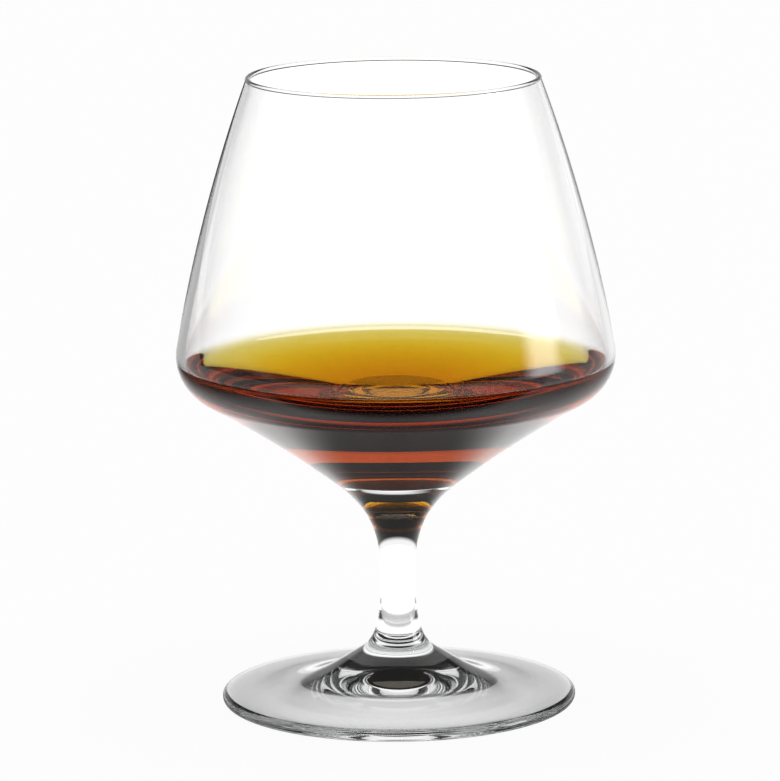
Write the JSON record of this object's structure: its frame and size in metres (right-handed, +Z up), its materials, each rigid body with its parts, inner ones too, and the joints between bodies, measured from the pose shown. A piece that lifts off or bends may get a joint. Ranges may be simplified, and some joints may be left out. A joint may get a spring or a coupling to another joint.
{
  "type": "brandy snifter",
  "caption": "Stemmed brandy glass with a wide tapering bowl, a short waisted stem and a round foot, holding a pour of brandy.",
  "frame": {"origin": "centre of the ring under the foot, on the table", "axes": "+Z up along the axis of the glass, -Y towards the viewer of the picture; the glass is round, so X and Y are free"},
  "size_m": [0.0922, 0.0922, 0.133],
  "materials": {
    "clear_glass": "fire-polished clear crystal glass",
    "brandy": "clear amber liquid"
  },
  "bodies": {
    "root": {"bowl": "clear_glass", "stem": "clear_glass", "foot": "clear_glass", "brandy": "brandy"}
  },
  "joints": []
}
